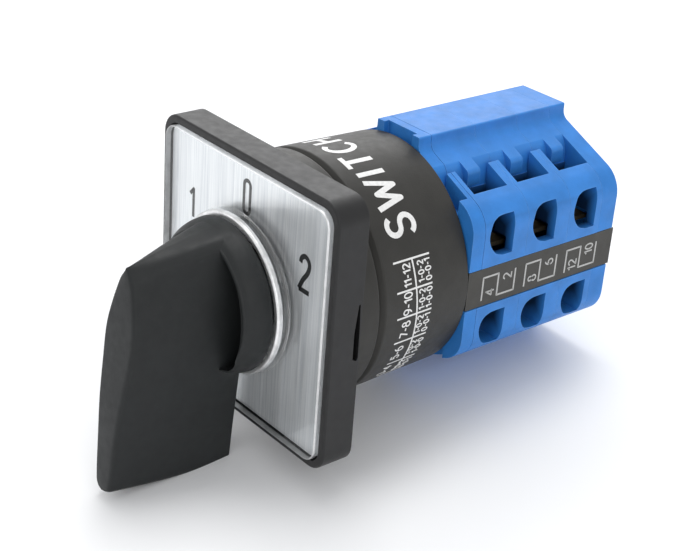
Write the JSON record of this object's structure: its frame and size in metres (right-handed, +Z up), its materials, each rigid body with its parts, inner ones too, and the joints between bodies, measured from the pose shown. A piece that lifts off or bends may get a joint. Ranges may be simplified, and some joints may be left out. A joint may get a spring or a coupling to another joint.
{
  "type": "rotary isolator switch",
  "caption": "Panel-mounted rotary cam switch: square front plate with a dial, lever handle, round housing and a block of screw-terminal stages.",
  "frame": {"origin": "on the turning axis, in the back face of the front plate, where it lies on the panel", "axes": "+Y along the turning axis into the panel, so the handle points to -Y; +Z up with the dial's 0 at the top; +X to the right for someone facing the dial"},
  "size_m": [0.048, 0.0974, 0.0555],
  "materials": {
    "handle_plastic": "fine matte moulded grain, charcoal black",
    "bezel_plastic": "matte black moulded plastic",
    "clear_plastic": "clear polished plastic",
    "dial_aluminium": "brushed vertically",
    "gasket_rubber": "matte",
    "housing_plastic": "satin warm grey-black moulded plastic",
    "blue_plastic": "satin blue moulded plastic",
    "strip_plastic": "satin dark grey",
    "nylon": "satin natural nylon",
    "cam_plastic": "satin",
    "steel": "zinc plated",
    "brass": "satin",
    "contact_alloy": "satin copper alloy"
  },
  "bodies": {
    "switch_body": {"clear_cover": "clear_plastic", "dial_plate": "dial_aluminium", "bezel": "bezel_plastic", "bezel_screw_top": "steel", "bezel_screw_bottom": "steel", "panel_gasket": "gasket_rubber", "mounting_ring": "housing_plastic", "housing": "housing_plastic", "base_plate": "blue_plastic", "stage_body_1": "blue_plastic", "stage_body_2": "blue_plastic", "stage_body_3": "blue_plastic", "end_cap": "blue_plastic", "marker_strip_left": "strip_plastic", "marker_strip_right": "strip_plastic", "tie_bolt_top": "steel", "tie_bolt_bottom": "steel", "terminal_1_left_upper": "brass", "terminal_1_left_lower": "brass", "terminal_1_right_upper": "brass", "terminal_1_right_lower": "brass", "terminal_2_left_upper": "brass", "terminal_2_left_lower": "brass", "terminal_2_right_upper": "brass", "terminal_2_right_lower": "brass", "terminal_3_left_upper": "brass", "terminal_3_left_lower": "brass", "terminal_3_right_upper": "brass", "terminal_3_right_lower": "brass"},
    "rotor": {"handle": "handle_plastic", "handle_spring_clip": "steel", "drive_shaft": "steel", "detent_wheel": "nylon", "cam_1": "cam_plastic", "cam_2": "cam_plastic", "cam_3": "cam_plastic"},
    "detent_follower_left_body": {"detent_follower_left": "nylon", "detent_spring_left": "steel"},
    "detent_follower_right_body": {"detent_follower_right": "nylon", "detent_spring_right": "steel"},
    "contact_1_left": {"plunger_1_left": "nylon", "contact_bridge_1_left": "contact_alloy", "contact_spring_1_left": "steel"},
    "contact_1_right": {"plunger_1_right": "nylon", "contact_bridge_1_right": "contact_alloy", "contact_spring_1_right": "steel"},
    "contact_2_left": {"plunger_2_left": "nylon", "contact_bridge_2_left": "contact_alloy", "contact_spring_2_left": "steel"},
    "contact_2_right": {"plunger_2_right": "nylon", "contact_bridge_2_right": "contact_alloy", "contact_spring_2_right": "steel"},
    "contact_3_left": {"plunger_3_left": "nylon", "contact_bridge_3_left": "contact_alloy", "contact_spring_3_left": "steel"},
    "contact_3_right": {"plunger_3_right": "nylon", "contact_bridge_3_right": "contact_alloy", "contact_spring_3_right": "steel"}
  },
  "joints": [
    {"name": "handle_turn", "type": "hinge", "parent": "switch_body", "child": "rotor", "pos_m": [0, 0, 0], "axis": [0, 1, 0], "range_deg": [-60, 60]},
    {"name": "detent_slide_left", "type": "slide", "parent": "switch_body", "child": "detent_follower_left_body", "axis": [-1, 0, 0], "range_m": [0, 0.0012], "stiffness_N_per_m": 400, "springref_m": -0.001},
    {"name": "detent_slide_right", "type": "slide", "parent": "switch_body", "child": "detent_follower_right_body", "axis": [1, 0, 0], "range_m": [0, 0.0012], "stiffness_N_per_m": 400, "springref_m": -0.001},
    {"name": "contact_slide_1_left", "type": "slide", "parent": "switch_body", "child": "contact_1_left", "axis": [-1, 0, 0], "range_m": [-0.001, 0.001]},
    {"name": "contact_slide_1_right", "type": "slide", "parent": "switch_body", "child": "contact_1_right", "axis": [1, 0, 0], "range_m": [-0.001, 0.001]},
    {"name": "contact_slide_2_left", "type": "slide", "parent": "switch_body", "child": "contact_2_left", "axis": [-1, 0, 0], "range_m": [-0.001, 0.001]},
    {"name": "contact_slide_2_right", "type": "slide", "parent": "switch_body", "child": "contact_2_right", "axis": [1, 0, 0], "range_m": [-0.001, 0.001]},
    {"name": "contact_slide_3_left", "type": "slide", "parent": "switch_body", "child": "contact_3_left", "axis": [-1, 0, 0], "range_m": [-0.001, 0.001]},
    {"name": "contact_slide_3_right", "type": "slide", "parent": "switch_body", "child": "contact_3_right", "axis": [1, 0, 0], "range_m": [-0.001, 0.001]}
  ],
  "couplings": [
    {"joint": "contact_slide_1_left", "follows": "handle_turn", "m_per_rad": 0.00095},
    {"joint": "contact_slide_1_right", "follows": "handle_turn", "m_per_rad": -0.00095},
    {"joint": "contact_slide_2_left", "follows": "handle_turn", "m_per_rad": 0.00095},
    {"joint": "contact_slide_2_right", "follows": "handle_turn", "m_per_rad": -0.00095},
    {"joint": "contact_slide_3_left", "follows": "handle_turn", "m_per_rad": 0.00095},
    {"joint": "contact_slide_3_right", "follows": "handle_turn", "m_per_rad": -0.00095}
  ]
}
